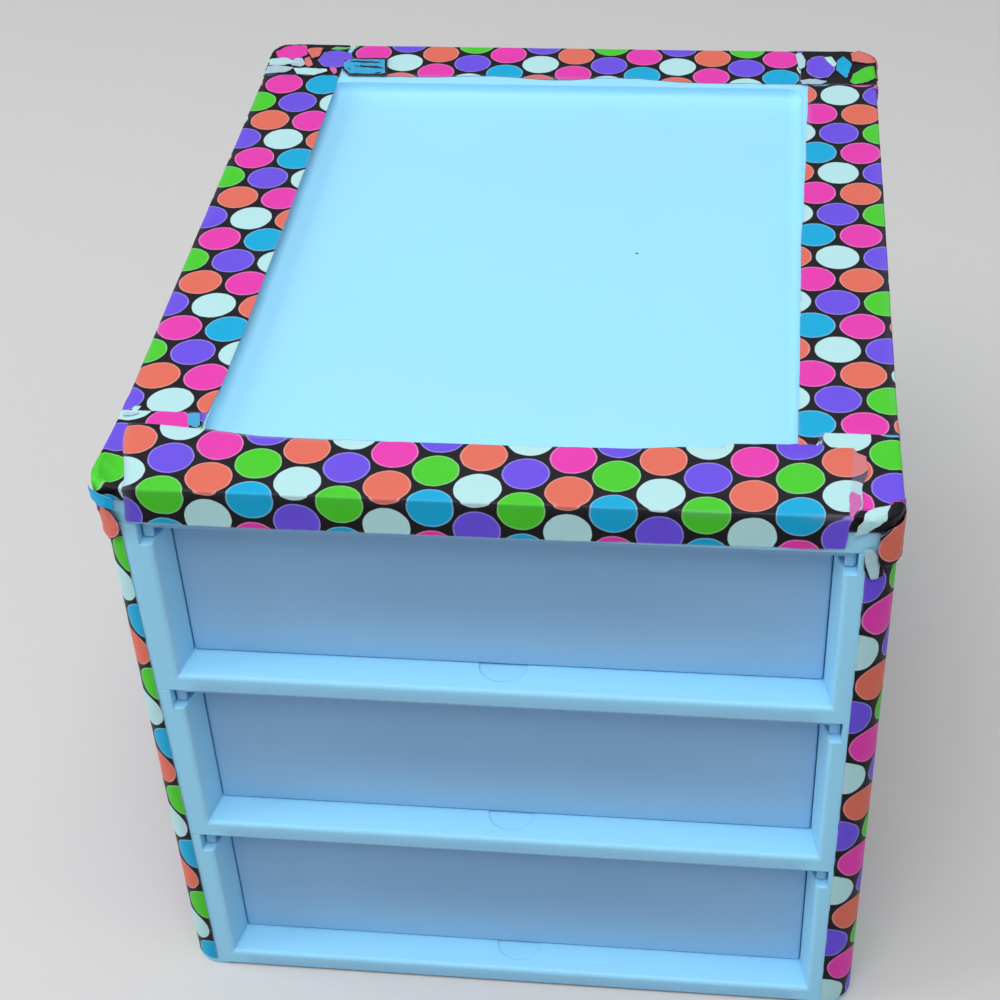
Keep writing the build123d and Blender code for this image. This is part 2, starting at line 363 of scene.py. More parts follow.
def frosted_plastic():
    """Milky grey-blue plastic of the drawers, with faint handling marks and painted light: lighter low down,
    high up, towards the sides and on the rims.
    """
    finish = Finish("frosted_plastic")
    cloud = finish.noise(7.0, detail=3.0, roughness=0.5)
    colour = finish.mix(finish.spread(cloud, 0.0, 0.7), frosted, frosted_pale)
    # Painted light, standing in for light through the milky walls and light bounced into the mouths: lighter
    # near the tub's floor, its top, its rim and its sides
    x, _, z = finish.axes(finish.place())
    level = finish.math("FLOORED_MODULO", finish.math("SUBTRACT", z, foot_height * MM), tier_height * MM)
    low = finish.between(level, 0.5 * tier_height * MM, 0.08 * tier_height * MM)
    high = finish.between(level, 0.5 * tier_height * MM, tier_height * MM)
    out = finish.between(finish.math("ABSOLUTE", x), 0.25 * side * MM, 0.85 * side * MM)
    colour = finish.mix(finish.times(out, 0.55), colour, frosted_painted_light_side)
    colour = finish.mix(low, colour, frosted_painted_light_low)
    colour = finish.mix(high, colour, frosted_painted_light_high)
    on_rim = finish.between(finish.math("ABSOLUTE", x), tub_half * MM, (tub_half + 1.0) * MM)
    colour = finish.mix(on_rim, colour, frosted_painted_light_rim)
    grain = finish.noise(1300.0, detail=3.0, roughness=0.6)
    colour = finish.mix(finish.spread(grain, 0.0, 0.1), colour, frosted_grain)
    smears = finish.noise(55.0, detail=5.0, roughness=0.62, stretch=(1.0, 1.0, 2.2))
    smudge = finish.between(smears, 0.6, 0.74)
    colour = finish.mix(finish.times(smudge, 0.1), colour, frosted_smudge)
    rounded = finish.node("Bevel", {"Radius": 0.6 * MM}, samples=6)
    bump = finish.bump(finish.noise(1100.0, detail=3.0, roughness=0.6), frost_height * MM, rounded)
    roughness = finish.spread(finish.noise(30.0, detail=4.0, roughness=0.6), 0.48, 0.62)
    return finish.surface(base_color=colour, roughness=roughness, normal=bump, specular_ior_level=0.4)


def pale_floor():
    """Plain pale studio floor with the faintest cloudiness."""
    finish = Finish("pale_floor")
    colour = finish.mix(finish.spread(finish.noise(1.4, detail=2.0), 0.0, 0.5), floor_paint, floor_cloud)
    bump = finish.bump(finish.noise(160.0, detail=3.0), floor_grain * MM)
    return finish.surface(base_color=colour, roughness=0.72, normal=bump, specular_ior_level=0.3)


def stops(*spans):
    """Grid lines over (start, end, step) spans that follow each other."""
    places = []
    for start, end, step in spans:
        count = max(1, round(abs(end - start) / step))
        places += [start + (end - start) * number / count for number in range(count)]
    places.append(spans[-1][1])
    return places


def along(knots, position):
    """Reads a line given by a few (position, value) points, smoothed between them."""
    if position <= knots[0][0]:
        return knots[0][1]
    for (start, first), (end, last) in zip(knots, knots[1:]):
        if position <= end:
            share = (position - start) / (end - start)
            return first + (last - first) * share * share * (3 - 2 * share)
    return knots[-1][1]


def ease(value, low, high):
    """0 below low, 1 above high, smooth between them; low may be the larger."""
    share = min(1.0, max(0.0, (value - low) / (high - low)))
    return share * share * (3 - 2 * share)


def rough(x, y, seed, pitch):
    """Steady noise from -1 to 1 on a flat sheet."""
    return noise.noise(Vector((x / pitch, y / pitch, seed)))


def over_edge(x, y, lift):
    """A flat point laid on the cover: level on top, folded down past its rounded edge."""
    core_x = min(straight_side, max(-straight_side, x))
    core_y = min(straight_front, max(-straight_front, y))
    away_x, away_y = x - core_x, y - core_y
    reach = hypot(away_x, away_y)
    inset = corner_radius - fold_radius
    if reach <= inset:
        return x, y, cover_top + lift
    past = reach - inset
    out_x, out_y = away_x / reach, away_y / reach
    bent = fold_radius + lift
    arc = fold_radius * pi / 2
    if past < arc:
        turn = past / fold_radius
        ring = inset + bent * sin(turn)
        level = cover_top - fold_radius + bent * cos(turn)
    else:
        ring = inset + bent
        level = cover_top - fold_radius - (past - arc)
    return core_x + out_x * ring, core_y + out_y * ring, level


def mirrored(lines):
    """Grid lines on the other side of the middle, still in rising order."""
    return [-line for line in reversed(lines)]


def across_fold(edge, reach, plain_reach, plain_drop, step):
    """Grid lines across a folded strip, from its inner edge outwards, fine at its fold and ragged edges."""
    return stops(
        (edge - reach, edge - plain_reach, step),
        (edge - plain_reach, edge - fold_band, plain_step),
        (edge - fold_band, edge + fold_band, fold_step),
        (edge + fold_band, edge + plain_drop, drop_step),
        (edge + plain_drop, edge + grid_drop, step),
    )


def past_edge(x, y):
    """How far a flat point lies beyond the cover's outline, measured along the tape."""
    core_x = min(straight_side, max(-straight_side, x))
    core_y = min(straight_front, max(-straight_front, y))
    reach = hypot(x - core_x, y - core_y) - (corner_radius - fold_radius)
    return reach + fold_radius * (1 - pi / 2) if reach > 0 else reach


def around(hand):
    """Upright tape: distance along the outline from the middle of the front, and height."""

    def place(run, z, lift):
        if run <= straight_side:
            return hand * run, front - lift, z
        if run <= corner_end:
            turn = (run - straight_side) / corner_radius
            ring = corner_radius + lift
            return hand * (straight_side + ring * sin(turn)), -straight_front - ring * cos(turn), z
        return hand * (side + lift), -straight_front + run - straight_side - corner_arc, z

    return place


def add_object(name, data):
    """Puts a new object with this mesh, light or camera into the scene."""
    made = bpy.data.objects.new(name, data)
    bpy.context.scene.collection.objects.link(made)
    return made


def lay_tape(name, xs, ys, inside, place, printed, lift, wear=None, flip=False):
    """Cuts tape out of a flat grid where inside is positive, and lays it on the unit."""
    points, depths, index, faces = [], [], {}, []

    def corner(i, j):
        if (i, j) not in index:
            index[i, j] = len(points)
            points.append((xs[i], ys[j]))
            depths.append(inside(xs[i], ys[j]))
        return index[i, j]

    def crossing(a, b):
        first, second = min(a, b), max(a, b)
        key = "cut", first, second
        if key not in index:
            share = depths[first] / (depths[first] - depths[second])
            share = min(1.0 - least_share, max(least_share, share))
            (ax, ay), (bx, by) = points[first], points[second]
            index[key] = len(points)
            points.append((ax + (bx - ax) * share, ay + (by - ay) * share))
            depths.append(0.0)
        return index[key]

    for i in range(len(xs) - 1):
        for j in range(len(ys) - 1):
            ring = [corner(i, j), corner(i + 1, j), corner(i + 1, j + 1), corner(i, j + 1)]
            face = []
            for a, b in zip(ring, ring[1:] + ring[:1]):
                if depths[a] > 0:
                    face.append(a)
                if (depths[a] > 0) != (depths[b] > 0):
                    face.append(crossing(a, b))
            if len(face) > 2:
                faces.append(face[::-1] if flip else face)
    used = sorted({point for face in faces for point in face})
    order = {point: number for number, point in enumerate(used)}
    faces = [[order[point] for point in face] for face in faces]
    flat = [points[point] for point in used]
    count = len(flat)
    heights = [lift(x, y) for x, y in flat]
    outer = [place(x, y, height) for (x, y), height in zip(flat, heights)]
    inner = [place(x, y, height - film) for (x, y), height in zip(flat, heights)]
    edges = {(a, b) for face in faces for a, b in zip(face, face[1:] + face[:1])}
    rim = [(b, a, a + count, b + count) for a, b in sorted(edges) if (b, a) not in edges]
    under = [[point + count for point in reversed(face)] for face in faces]
    mesh = bpy.data.meshes.new(name)
    mesh.from_pydata([Vector(point) * MM for point in outer + inner], [], faces + under + rim)
    spots = [printed(x, y) for x, y in flat] * 2
    layer_uv = mesh.uv_layers.new(name="print")
    corners = [0] * len(mesh.loops)
    mesh.loops.foreach_get("vertex_index", corners)
    layer_uv.data.foreach_set("uv", [value for point in corners for value in spots[point]])
    on_cut = [abs(depths[point]) < on_cut_line for point in used]
    worn = [max(wear(x, y) if wear else 0.0, fray * cut) for (x, y), cut in zip(flat, on_cut)] * 2
    mesh.attributes.new("wear", "FLOAT", "POINT").data.foreach_set("value", worn)
    mesh.shade_smooth()
    mesh.set_sharp_from_angle(angle=radians(sharp_angle))
    mesh.materials.append(tape_finish)
    piece = add_object(name, mesh)
    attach(piece, "frame")
    return piece


def within(x_low, x_high, y_low, y_high):
    """Positive inside a rectangle whose sides are lines across the sheet."""
    return lambda x, y: min(x - x_low(y), x_high(y) - x, y - y_low(x), y_high(x) - y)


def ragged(limit, seed, size, pitch):
    """A line with a small steady raggedness, as a torn or cut edge has."""
    return lambda position: along(limit, position) + size * rough(position, 0.0, seed, pitch)


# The camera, in millimetres: its eye, what it looks at, its roll in degrees, its lens and its sensor
camera_eye = (79.51, -668.24, 683.53)
camera_aim = (-17.3, -17.67, 140.0)
camera_roll = -3.163
camera_lens = 71.996
camera_sensor = 36.0

# Lights: name, height above the horizon and turn to the right in degrees, power in watts. Then their size and
# distance in metres, and the sky's strength and how fast it darkens away from straight up.
softboxes = (
    ("front_key", 65.0, 0.0, 35.0),
    ("back_key", 60.0, 180.0, 5.5),
    ("left_fill", 25.0, -80.0, 34.0),
    ("right_fill", 25.0, 78.0, 9.0),
)
softbox_size = 1.4
light_distance = 2.4
light_height = 0.15
sky_strength = 0.74
sky_falloff = 2.0

# The floor, and the backdrop's start and bend, in metres. Then its rings, sides and faint glow.
floor_reach = 6.0
backdrop_reach = 4.0
backdrop_bend = 3.0
backdrop_rings = 16
backdrop_sides = 96
backdrop_glow = 0.14

# A dark speck on the tray's floor: across, back, radius
tray_specks = ((39.8, 1.5, 0.8),)


def laid_print(column, column_step, stretch, row, row_step, slant, bow):
    """The column and half row of a long strip's print, by distance along the strip and across it.

    The tape was laid by hand, so along the strip its columns stretch, and its rows slant and bow, a little.
    """
    return lambda run, across: (
        column + column_step * run + stretch * run * run,
        row + row_step * across + slant * run + bow * run * run,
    )


def print_from(dot, place, steps):
    """The column and half row of a short piece's print, counted from one dot's place by two steps."""
    return lambda x, y: (dot[0] + (x - place[0]) / steps[0], dot[1] + (y - place[1]) / steps[1])


front_print = laid_print(
    column=8.274, column_step=0.06508, stretch=1.825e-6,
    row=-13.17, row_step=-0.1103, slant=0.001004, bow=1.861e-5,
)
back_print = laid_print(
    column=8.207, column_step=-0.06479, stretch=-5.13e-6,
    row=-15.53, row_step=0.1129, slant=0.0005797, bow=5.978e-6,
)
right_print = laid_print(
    column=-2.554, column_step=0.06384, stretch=-1.663e-5,
    row=-12.01, row_step=0.1106, slant=-0.002065, bow=-5.07e-6,
)
left_print = laid_print(
    column=9.704, column_step=-0.06335, stretch=1.258e-5,
    row=-11.756, row_step=-0.1088, slant=0.001815, bow=-1.031e-5,
)

# Inner edges of the four strips, as (place along the edge, distance in from the unit's side)
left_reach = ((-125.7, 30.9), (-92.7, 32.6), (-53.9, 33.4), (18.0, 33.9), (127.0, 34.1))
right_reach = ((-122.0, 34.0), (-69.0, 33.2), (0.0, 32.7), (35.0, 31.4), (75.0, 30.4), (122.0, 29.4))
back_reach = (
    (-99.6, 29.2), (-65.0, 29.1), (-34.0, 27.2), (-4.5, 30.0), (24.0, 27.2), (60.0, 30.7), (90.0, 30.6),
)
front_reach = (
    (-128.0, 35.8), (-104.0, 33.7), (-80.0, 31.1), (-52.0, 30.5), (-6.0, 30.9),
    (42.0, 31.5), (69.0, 34.0), (76.5, 34.2), (78.0, 36.8), (98.0, 37.6), (121.0, 38.2),
)
# The front strip's cut ends and lower edge
front_left_end = ((front - 15.0, -126.0), (front - 4.0, -125.0), (front, -125.2), (front + 32.0, -132.2))
front_right_end = ((front - 15.0, 118.3), (front, 118.9), (front + 36.0, 120.8))
# Past that end the film is torn away and only a faded layer of its cloth is left
front_right_shreds = (
    (front - 15.0, 118.3), (front - 3.0, 119.0), (front + 5.3, 123.4), (front + 14.0, 123.2),
    (front + 24.0, 125.4), (front + 31.0, 125.0), (front + 34.0, 121.5), (front + 38.0, 120.8),
)
front_fall = ((-125.0, 13.7), (-83.0, 14.8), (0.0, 14.6), (70.0, 14.0), (103.0, 13.5), (118.0, 12.7))
# The back strip's cut ends
back_left_end = ((back - 34.0, -97.0), (back - 18.0, -102.0), (back, -99.5), (back + 15.0, -101.0))
back_right_end = ((back - 34.0, 103.5), (back, 104.5), (back + 15.0, 106.0))
# The front ends of the strips over the sides
left_fore_end = ((0.0, front + 43.0),)
right_fore_end = ((109.6, front + 37.0), (110.9, front + 44.0))

# The first upright strips, left (-1) and right (1): where along the outline their front edge is at foot and
# head, one dot of their print, its height and place along the outline, and the steps to the next column and
# half row
corner_strips = {
    -1: ((126.3, 128.6), (1.0, 5.0), (229.51, 126.75), (15.91, -half_row_pitch)),
    1: ((124.5, 125.6), (3.0, 1.0), (230.41, 125.2), (15.87, half_row_pitch)),
}
# The corner patches' print, a little tighter than the strips'
patch_pitch = 15.4
# Each upright strip's own shift of its print
strip_phases = (0.0, 0.62, 1.37, 0.21, 1.71, 0.94, 0.4)


def make_front_strip():
    """The strip over the front edge, on top of the corner patches."""
    inner = ragged([(x, front + reach) for x, reach in front_reach], 1.0, 0.2, 5.0)
    outer = ragged([(x, front - fall) for x, fall in front_fall], 2.0, 0.25, 4.0)
    left_end = ragged(front_left_end, 3.0, 0.5, 2.5)
    right_end = ragged(front_right_shreds, 4.0, 0.3, 2.0)

    def lift(x, y):
        over_patch = ease(abs(x), 98.0, 103.5)
        ripple = 0.12 * rough(x, y, 5.0, 14.0)
        droop = 0.5 * ease(y, front + 32.0, front + 40.0)
        return lay_height + 0.15 + ripple + 1.6 * layer * over_patch - droop

    def wear(x, y):
        # Faded at the left end and past the tear, rubbed along the crease and the lip
        left = 0.32 * ease(x - along(front_left_end, y), 2.4, 0.2)
        torn = 0.34 * ease(x - along(front_right_end, y), -0.35, 0.35)
        crease = ease(abs(y - front + 0.3), 1.2, 0.2)
        scuffs = max(ease(abs(x - 112.0), 9.0, 3.0), ease(abs(x - 72.0), 10.0, 4.0))
        lip = 0.6 * ease(y - front - along(front_reach, x), -1.6, -0.4) * ease(abs(x + 82.0), 26.0, 18.0)
        return max(left, torn, lip, 0.24 * crease * scuffs, 0.05 * crease)

    xs = stops((-134.0, -124.0, 0.7), (-124.0, 112.0, 2.6), (112.0, 127.0, 0.5))
    ys = mirrored(across_fold(-front, 39.5, 28.0, 11.0, 0.8))
    inside = within(left_end, right_end, outer, inner)
    piece = lay_tape("dotted_top_front", xs, ys, inside, over_edge, front_print, lift, wear)
    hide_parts("tape_top_front")


def make_back_strip():
    """The strip over the back edge."""
    inner = ragged([(x, back - reach) for x, reach in back_reach], 11.0, 0.5, 6.0)
    outer = ragged([(0.0, back + back_drop)], 12.0, 0.4, 5.0)
    left_end = ragged(back_left_end, 13.0, 0.5, 3.0)
    right_end = ragged(back_right_end, 14.0, 0.5, 3.0)

    def lift(x, y):
        over_side = ease(abs(x), 98.0, 106.0)
        return lay_height + 0.05 + 0.12 * rough(x, y, 15.0, 12.0) + 1.5 * layer * over_side

    def wear(x, y):
        return 0.5 * ease(y, back - 26.0, back - 29.5) * ease(-x, -60.0, 20.0)

    xs = stops((-104.0, -95.0, 0.8), (-95.0, 98.0, 2.6), (98.0, 108.0, 0.8))
    ys = across_fold(back, 36.0, 24.0, 12.0, 0.9)
    inside = within(left_end, right_end, inner, outer)
    piece = lay_tape("dotted_top_back", xs, ys, inside, over_edge, back_print, lift, wear)
    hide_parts("tape_top_back")


def make_side_top_strip(hand, word, reach, laid, fore_end):
    """A strip over the left or right edge, under the ones across the front and back."""
    seed = 20.0 + hand
    inner = ragged([(y, side - distance) for y, distance in reach], seed, 0.25, 6.0)
    outer = ragged([(0.0, side + side_drop)], seed + 3.0, 0.4, 5.0)
    fore = ragged(fore_end, seed + 4.0, 0.4, 2.5)
    flat = within(fore, lambda y: back - 22.0, inner, outer)

    def lift(x, y):
        over_patch = 1.3 * layer * ease(y, front + 54.0, front + 48.0)
        return lay_height + over_patch + 0.12 * rough(x, y, seed + 6.0, 13.0)

    def wear(x, y):
        crease = ease(abs(hand * x - side + 0.6), 1.6, 0.2)
        return 0.16 * crease * (0.5 + 0.5 * rough(0.0, y, seed, 9.0))

    span = across_fold(side, 36.0, 30.0, 12.0, 1.0)
    xs = span if hand > 0 else mirrored(span)
    ys = stops((front + 35.5, front + 46.0, 0.8), (front + 46.0, back - 21.0, 2.6))
    piece = lay_tape(
        "dotted_top_" + word, xs, ys, lambda x, y: flat(y, hand * x), over_edge, lambda x, y: laid(y, x),
        lift, wear,
    )
    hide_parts("tape_top_" + word)


def patch_lines(edge, reach, hand):
    """Grid lines over a corner patch, close together at the fold."""
    fold_start, fold_end = edge - 3.0, edge + 1.6
    lines = stops((edge - reach, fold_start, 1.0), (fold_start, fold_end, 0.4), (fold_end, edge + 16.0, 1.0))
    return lines if hand > 0 else mirrored(lines)


def make_corner_patch(word, across, deep, ends, drop, flare, seed, printed):
    """A short piece of the same tape, pleated round a corner of the cover.

    Across and deep are 1 or -1 towards the corner. The ends are its edges on top, one across and one deep.
    """
    crumple = 0.5 if deep < 0 else 0.35

    # On top at the back corners it is bare ground, and under the leaf at the front right it is bare black
    # ground as a painted shadow of the leaf
    def shown(x, y):
        behind = deep > 0 and past_edge(x, y) < 0.3
        leaf_shadow = across > 0 > deep and y < front + 8.5 and past_edge(x, y) > -3.0
        return bare_print if behind or leaf_shadow else printed(x, y)

    def inside(x, y):
        turn = atan2(across * x - straight_side, max(0.01, deep * y - straight_front))
        foot = drop + (side_drop - 0.6 - drop) * ease(turn, radians(35.0), radians(65.0))
        from_end = across * (x - ends[0]) + 0.3 * rough(x, y, seed, 3.0)
        from_inner = deep * (y - ends[1]) + 0.3 * rough(x, y, seed + 1.0, 3.0)
        from_foot = foot - past_edge(x, y) + 0.4 * rough(x, y, seed + 2.0, 3.0)
        return min(from_end, from_inner, from_foot)

    def lift(x, y):
        at_corner = ease(hypot(across * x - side, deep * y - back), 26.0, 8.0)
        pleats = abs(rough(x, y, seed, 5.0)) * 1.4 * crumple * at_corner
        loose = flare * ease(past_edge(x, y), -5.0, 1.5) * ease(across * x, 127.0, 134.0)
        loose *= ease(deep * y, straight_front - 34.0, straight_front + 8.0)
        return lay_height + 1.1 * layer + pleats + loose + 0.1 * rough(x, y, seed + 1.0, 9.0)

    xs = patch_lines(side, 34.0, across)
    ys = patch_lines(back, 47.0, deep)
    lay_tape("corner_patch_" + word, xs, ys, inside, over_edge, shown, lift)


def make_corner_patches():
    """The patches at the four corners, each with a print of its own."""
    make_corner_patch(
        "front_left", -1, -1, ends=(-105.4, -116.5), drop=4.5, flare=1.7, seed=40.0,
        printed=print_from((1.0, 3.0), (-133.5, -134.8), (patch_pitch, -half_row_pitch)),
    )
    make_corner_patch(
        "front_right", 1, -1, ends=(110.4, -118.0), drop=5.6, flare=0.4, seed=43.0,
        printed=print_from((4.0, 4.0), (118.9, -120.2), (-patch_pitch, half_row_pitch)),
    )
    make_corner_patch(
        "back_left", -1, 1, ends=(-97.5, 133.0), drop=13.0, flare=0.8, seed=46.0,
        printed=print_from((2.0, 2.0), (-131.0, 163.5), (patch_pitch, half_row_pitch)),
    )
    make_corner_patch(
        "back_right", 1, 1, ends=(103.5, 131.5), drop=13.0, flare=0.8, seed=49.0,
        printed=print_from((1.0, 3.0), (113.2, 147.0), (12.0, -13.0)),
    )


def tear(name, outline, ink=None, spot=None, turn=0.0, squeeze=(1.0, 1.0), layers=2.2, worn=0.0,
         flare=0.0, hand=0, band=None):
    """Adds a torn scrap of tape: the flat area inside every side of an outline, printed with one dot.

    The dot has an ink, a spot, a turn in degrees and a squeeze. Without an ink the scrap is bare ground. With
    a hand it lies on that side's upright tape, and its points are distances along the unit's outline and
    heights. A band keeps it between two distances past the cover's outline.
    """
    area = sum(ax * by - bx * ay for (ax, ay), (bx, by) in zip(outline, outline[1:] + outline[:1]))
    ring = outline if area > 0 else outline[::-1]
    seed = outline[0][0] + 0.37 * outline[0][1]
    turned = radians(turn)

    def inside(x, y):
        gaps = []
        for (ax, ay), (bx, by) in zip(ring, ring[1:] + ring[:1]):
            gaps.append(((bx - ax) * (y - ay) - (by - ay) * (x - ax)) / hypot(bx - ax, by - ay))
        if band is not None:
            gaps += [past_edge(x, y) - band[0], band[1] - past_edge(x, y)]
        return min(gaps) + 0.22 * rough(x, y, seed, 1.4)

    def printed(x, y):
        if ink is None:
            return bare_print
        off_x, off_y = x - spot[0], y - spot[1]
        across = (off_x * cos(turned) + off_y * sin(turned)) / squeeze[0]
        upward = (off_y * cos(turned) - off_x * sin(turned)) / squeeze[1]
        return 1.0 + across / column_pitch, 1.0 + 2.0 * dot_colours.index(ink) + upward / half_row_pitch

    def lift(x, y):
        loose = flare if hand else flare * ease(past_edge(x, y), -5.0, 1.5)
        return lay_height + layers * layer + 0.45 * abs(rough(x, y, seed + 3.0, 3.5)) + loose

    step = 0.6
    xs = stops((min(x for x, _ in ring) - step, max(x for x, _ in ring) + step, step))
    ys = stops((min(y for _, y in ring) - step, max(y for _, y in ring) + step, step))
    place = around(hand) if hand else over_edge
    lay_tape("scrap_" + name, xs, ys, inside, place, printed, lift, lambda x, y: worn, hand < 0)


def make_corner_scraps():
    """The torn and folded bits that each corner of the cover ends in."""
    # Front left
    tear("fl_white", (
        (-135.5, -121.5), (-133.0, -120.6), (-128.6, -120.8), (-132.5, -122.8), (-135.0, -123.2),
    ), ink=cream, spot=(-132.0, -121.0), worn=0.3, flare=0.5)
    tear("fl_blue_chip", (
        (-112.0, -119.9), (-107.7, -120.3), (-106.2, -126.5), (-107.0, -128.5), (-110.8, -126.5),
    ), ink=blue, spot=(-107.0, -124.0), worn=0.2)
    tear("fl_blue_fold", (
        (-127.6, -158.0), (-128.4, -172.0), (-138.0, -172.0), (-146.0, -164.2), (-133.2, -156.2),
    ), ink=blue, spot=(-134.8, -163.0), squeeze=(1.7, 1.7), layers=4.8, flare=2.2, band=(0.9, 6.3))
    tear("fl_orange", (
        (127.8, 246.5), (129.5, 249.5), (147.0, 250.5), (147.0, 235.5), (131.5, 236.0), (128.6, 239.5),
    ), ink=orange, spot=(135.6, 243.6), squeeze=(0.9, 0.95), worn=0.06, flare=0.9, hand=-1)
    # Front right
    tear("fr_pink", (
        (118.9, -152.0), (120.0, -150.0), (122.6, -152.0), (123.0, -156.5), (121.5, -160.0),
        (119.0, -164.0),
    ), ink=pink, spot=(119.5, -156.0), layers=2.6, worn=0.5)
    tear("fr_leaf", (
        (120.9, -169.0), (122.0, -164.4), (125.0, -160.2), (128.8, -158.0), (132.2, -157.0),
        (131.2, -160.4), (128.6, -164.0), (125.0, -167.2),
    ), ink=cream, spot=(126.2, -163.2), turn=48.0, squeeze=(1.05, 0.7), layers=4.0)
    tear("fr_orange", (
        (128.4, 246.5), (129.0, 252.0), (131.0, 254.5), (148.0, 255.0), (148.0, 239.0), (132.0, 238.0),
        (129.2, 240.5),
    ), ink=orange, spot=(136.8, 247.3), layers=3.2, flare=0.5, hand=1)
    tear("fr_ground", (
        (124.8, 243.5), (131.5, 244.0), (131.5, 234.0), (127.0, 233.0), (124.9, 238.0),
    ), hand=1)
    tear("fr_backing", (
        (124.6, 246.0), (127.4, 247.0), (129.8, 241.0), (129.6, 234.0), (127.4, 233.6), (125.4, 240.0),
    ), ink=cream, spot=(127.0, 241.0), layers=3.2, worn=0.3, hand=1)
    # Back right
    tear("br_wisp", (
        (101.5, 158.5), (104.0, 159.5), (106.0, 153.0), (105.6, 146.0), (103.2, 143.0), (102.4, 150.0),
    ), ink=cream, spot=(104.0, 152.0), layers=3.0, worn=0.2)
    tear("br_purple", (
        (106.5, 151.0), (109.0, 156.0), (114.5, 157.2), (118.2, 153.0), (119.0, 144.0), (115.5, 136.5),
        (109.5, 135.8), (106.3, 141.5),
    ), ink=purple, spot=(112.4, 146.3), squeeze=(0.78, 1.25), layers=2.6)
    tear("br_white", (
        (114.0, 155.4), (117.4, 156.2), (119.6, 149.5), (118.8, 145.5), (116.5, 149.5),
    ), ink=cream, spot=(117.0, 151.0), layers=3.4)
    tear("br_blue", (
        (122.8, 157.0), (126.4, 149.5), (123.8, 136.4), (119.4, 143.7), (119.9, 152.2),
    ), ink=blue, spot=(123.0, 147.0), squeeze=(0.6, 1.4), layers=2.8)
    tear("br_orange", (
        (126.0, 159.0), (130.8, 162.8), (142.0, 152.6), (133.0, 150.0), (126.6, 152.0),
    ), ink=orange, spot=(132.5, 155.5), squeeze=(1.6, 1.0), layers=4.0, worn=0.16)
    tear("br_green", (
        (125.2, 132.8), (126.7, 140.2), (132.5, 147.0), (141.3, 149.0), (139.3, 141.5), (133.0, 133.0),
        (127.3, 131.0),
    ), ink=green, spot=(132.5, 140.0), turn=48.0, squeeze=(1.35, 0.6), layers=3.0)
    tear("br_pink_edge", (
        (134.8, 131.5), (137.6, 133.5), (141.0, 140.0), (141.0, 128.0), (135.0, 127.5),
    ), ink=pink, spot=(138.0, 133.0), layers=2.6, worn=0.4)
    tear("br_mauve", (
        (103.5, 133.5), (107.5, 135.3), (115.5, 133.4), (112.5, 130.6), (104.5, 130.5),
    ), ink=cream, spot=(108.0, 133.5), layers=2.8, worn=0.5)
    # Back left
    tear("bl_pink", (
        (-135.6, 153.3), (-130.6, 159.6), (-122.2, 160.6), (-120.2, 151.7), (-124.0, 146.9),
        (-132.6, 146.7),
    ), ink=pink, spot=(-127.8, 153.2), squeeze=(1.05, 0.98), layers=3.0)
    tear("bl_orange_top", (
        (-121.0, 155.6), (-119.3, 157.7), (-114.2, 157.8), (-114.2, 149.9), (-117.5, 147.9),
    ), ink=orange, spot=(-117.5, 153.5), layers=3.2, worn=0.08)
    tear("bl_orange_low", (
        (-120.8, 147.6), (-118.8, 149.3), (-115.9, 142.1), (-117.2, 139.6), (-119.9, 142.0),
    ), ink=orange, spot=(-118.4, 144.5), layers=2.6, worn=0.25)
    tear("bl_purple", (
        (-114.4, 146.0), (-112.6, 153.4), (-106.7, 155.8), (-99.7, 153.0), (-98.6, 144.0), (-103.0, 139.6),
        (-110.9, 140.0),
    ), ink=purple, spot=(-106.4, 147.6), squeeze=(1.0, 1.02), layers=3.0, worn=0.06)
    tear("bl_green", (
        (-110.8, 156.9), (-107.6, 159.4), (-100.9, 158.8), (-104.0, 156.8),
    ), ink=green, spot=(-106.0, 158.0), squeeze=(0.7, 0.4), layers=2.6, worn=0.2)
    tear("bl_teal_shadow", (
        (-102.8, 145.0), (-99.8, 148.6), (-82.6, 149.2), (-80.4, 132.6), (-97.5, 132.4), (-101.6, 138.2),
    ), layers=2.6)
    tear("bl_teal", (
        (-101.8, 144.2), (-98.8, 147.2), (-83.6, 147.4), (-81.4, 134.0), (-97.3, 133.6), (-101.0, 139.0),
    ), ink=blue, spot=(-91.2, 140.5), squeeze=(1.5, 1.05), layers=3.2, worn=0.1)
    # Black strips over the teal scrap: painted shade in its crease and in its fold
    tear("bl_teal_crease", (
        (-99.6, 144.4), (-98.0, 145.4), (-86.0, 144.6), (-84.6, 143.7), (-92.0, 143.5),
    ), layers=4.2)
    tear("bl_teal_fold", (
        (-97.0, 140.2), (-90.0, 140.9), (-82.6, 139.2), (-84.0, 138.3), (-91.0, 139.4),
    ), layers=4.2)
    tear("bl_white", (
        (-137.0, 140.5), (-136.0, 146.6), (-129.5, 147.8), (-121.6, 143.2), (-128.7, 140.8),
    ), ink=cream, spot=(-129.5, 144.0), squeeze=(1.2, 0.8), layers=3.4, worn=0.16)
    tear("bl_mauve", (
        (-137.2, 138.5), (-133.0, 140.8), (-124.0, 138.8), (-126.5, 134.4), (-136.6, 132.6),
    ), ink=cream, spot=(-131.0, 137.0), layers=3.0, worn=0.5)
    tear("bl_crescent", (
        (-124.6, 138.6), (-118.5, 138.2), (-108.6, 138.6), (-108.2, 135.5), (-113.5, 131.8),
        (-121.5, 132.6),
    ), ink=cream, spot=(-116.4, 136.4), squeeze=(1.15, 0.9), layers=3.2)
    tear("bl_ash", (
        (-125.6, 147.0), (-121.8, 147.6), (-119.4, 142.2), (-121.0, 139.6), (-125.8, 141.0),
    ), ink=cream, spot=(-122.5, 143.5), layers=3.0, worn=0.45)
    tear("bl_pink_chip", (
        (-107.8, 139.5), (-104.5, 138.8), (-103.4, 134.6), (-104.4, 132.8), (-106.6, 136.0),
    ), ink=pink, spot=(-105.5, 136.5), layers=3.0, worn=0.5)


